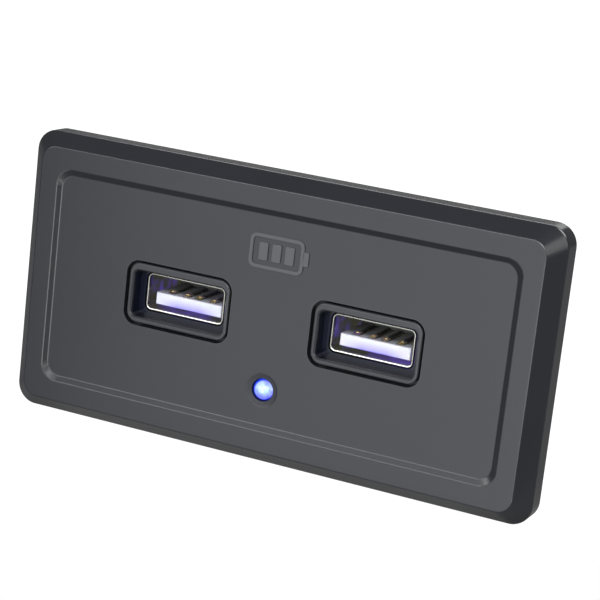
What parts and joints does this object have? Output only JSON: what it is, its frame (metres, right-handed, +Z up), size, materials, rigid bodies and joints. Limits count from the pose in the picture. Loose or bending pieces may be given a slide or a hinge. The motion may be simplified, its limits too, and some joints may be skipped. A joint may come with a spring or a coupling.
{
  "type": "car dual usb socket",
  "caption": "Snap-in rectangular panel socket for a vehicle: bevelled dark faceplate with USB-A charging ports side by side, a blue pilot lamp and blade terminals behind.",
  "frame": {"origin": "centre of the panel seat, in the plane of the flange's back face", "axes": "+X right seen from the front, +Y into the panel, +Z up; the front looks to -Y"},
  "size_m": [0.085, 0.0383, 0.043],
  "materials": {
    "faceplate_plastic": "satin moulded dark grey",
    "collar_plastic": "satin moulded dark grey",
    "housing_plastic": "matt black, glass filled",
    "shell_steel": "bright nickel plate on steel",
    "insulator_plastic": "white",
    "contact_gold": "gold flash on copper alloy",
    "lens_resin": "clear blue, lit",
    "lead_tin": "tinned",
    "spacer_plastic": "black",
    "board_laminate": "green solder mask",
    "blade_brass": "tinned brass",
    "ferrite": "dull dark grey",
    "can_aluminium": "satin",
    "chip_epoxy": "dull black",
    "fuse_polymer": "dull green",
    "screw_steel": "zinc plated"
  },
  "bodies": {
    "root": {"faceplate": "faceplate_plastic", "rear_housing": "housing_plastic", "circuit_board": "board_laminate", "led_lens": "lens_resin", "led_spacer": "spacer_plastic", "led_anode_lead": "lead_tin", "led_cathode_lead": "lead_tin", "positive_terminal": "blade_brass", "negative_terminal": "blade_brass", "power_inductor": "ferrite", "input_capacitor": "can_aluminium", "converter_chip": "chip_epoxy", "input_fuse": "fuse_polymer", "input_diode": "chip_epoxy", "board_screws": "screw_steel", "housing_screws": "screw_steel", "left_port_collar": "collar_plastic", "left_usb_shell": "shell_steel", "left_usb_insulator": "insulator_plastic", "left_output_capacitor": "can_aluminium", "left_port_controller": "chip_epoxy", "left_power_contact": "contact_gold", "left_data_minus_contact": "contact_gold", "left_data_plus_contact": "contact_gold", "left_ground_contact": "contact_gold", "right_port_collar": "collar_plastic", "right_usb_shell": "shell_steel", "right_usb_insulator": "insulator_plastic", "right_output_capacitor": "can_aluminium", "right_port_controller": "chip_epoxy", "right_power_contact": "contact_gold", "right_data_minus_contact": "contact_gold", "right_data_plus_contact": "contact_gold", "right_ground_contact": "contact_gold"}
  },
  "joints": []
}
